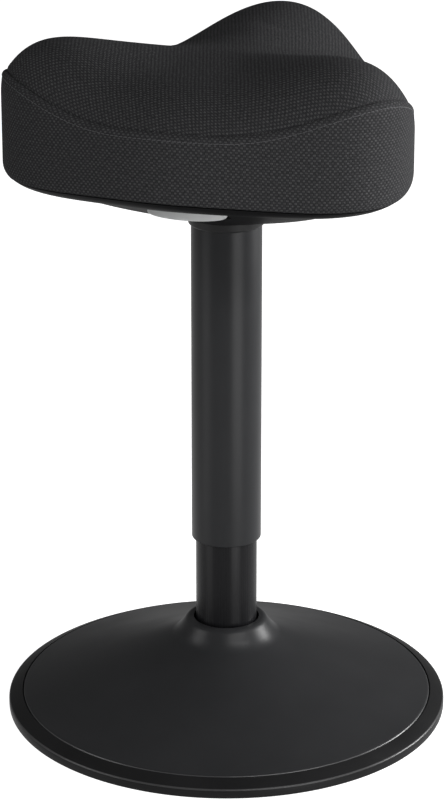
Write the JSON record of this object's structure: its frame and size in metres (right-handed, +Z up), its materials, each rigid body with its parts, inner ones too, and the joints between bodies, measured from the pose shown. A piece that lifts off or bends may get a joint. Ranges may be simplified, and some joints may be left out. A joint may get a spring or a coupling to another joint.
{
  "type": "perch stool",
  "caption": "Height-adjustable swivelling perch stool with a padded three-lobed saddle seat, a telescoping gas lift column and a round trumpet-shaped base.",
  "frame": {"origin": "on the floor, at the middle of the round base, under the column's axis", "axes": "+Z up along the column, +Y towards the seat's front lobe (the pommel between the thighs), +X to the sitter's right side"},
  "size_m": [0.3618, 0.3618, 0.5717],
  "materials": {
    "base_paint": "satin black powder coat",
    "tube_paint": "semi-gloss black",
    "sleeve_paint": "satin black powder coat",
    "rim_rubber": "matt black",
    "black_plastic": "fine-grained black",
    "shell_plastic": "fine-grained black",
    "paddle_plastic": "satin light grey",
    "pale_plastic": "natural",
    "seat_cloth": "charcoal basket weave",
    "foam": "moulded foam",
    "plywood": "raw plywood",
    "bare_steel": "zinc plated",
    "dark_steel": "black oxide",
    "rod_chrome": "hard chromed"
  },
  "bodies": {
    "base": {"rim_ring": "rim_rubber", "base_shell": "base_paint", "ballast_plate": "dark_steel", "base_socket": "dark_steel", "bottom_cover": "black_plastic", "cover_screw_1": "bare_steel", "cover_screw_2": "bare_steel", "cover_screw_3": "bare_steel", "cover_screw_4": "bare_steel", "guide_tube": "tube_paint", "guide_bush": "pale_plastic", "tube_glide": "pale_plastic", "bearing_washer_lower": "bare_steel"},
    "gas_rod": {"bearing_cage": "pale_plastic", "bearing_washer_upper": "bare_steel", "bump_stop": "rim_rubber", "piston_rod": "rod_chrome", "rod_clip": "dark_steel", "piston": "dark_steel", "piston_nut": "bare_steel"},
    "seat": {"gas_cylinder": "bare_steel", "rod_seal": "rim_rubber", "sleeve": "sleeve_paint", "sleeve_liner": "black_plastic", "collar": "black_plastic", "taper_socket": "dark_steel", "seat_plate": "dark_steel", "plate_bolt_1": "bare_steel", "plate_bolt_2": "bare_steel", "plate_bolt_3": "bare_steel", "plate_bolt_4": "bare_steel", "tee_nut_1": "bare_steel", "tee_nut_2": "bare_steel", "tee_nut_3": "bare_steel", "tee_nut_4": "bare_steel", "seat_board": "plywood", "seat_foam": "foam", "cover_band": "seat_cloth", "cover_top": "seat_cloth", "under_shell": "shell_plastic", "shell_screw_1": "dark_steel", "shell_screw_2": "dark_steel", "shell_screw_3": "dark_steel", "arm_pin": "bare_steel", "arm_spring": "bare_steel"},
    "lever": {"release_paddle": "paddle_plastic", "release_arm": "dark_steel"},
    "button": {"release_button": "bare_steel"}
  },
  "joints": [
    {"name": "seat_swivel", "type": "hinge", "parent": "base", "child": "gas_rod", "pos_m": [0, 0, 0.016], "axis": [0, 0, 1], "continuous": true},
    {"name": "height_slide", "type": "slide", "parent": "gas_rod", "child": "seat", "axis": [0, 0, 1], "range_m": [-0.065, 0.135]},
    {"name": "release_lever", "type": "hinge", "parent": "seat", "child": "lever", "pos_m": [0, -0.028, 0.459], "axis": [-1, 0, 0], "range_deg": [0, 4], "stiffness_Nm_per_rad": 6, "springref_deg": -1.72, "deforming": ["arm_spring"]},
    {"name": "release_button_press", "type": "slide", "parent": "seat", "child": "button", "axis": [0, 0, -1], "range_m": [0, 0.0021], "stiffness_N_per_m": 500, "springref_m": -0.001}
  ],
  "couplings": [
    {"joint": "release_button_press", "follows": "release_lever", "m_per_rad": 0.028}
  ]
}
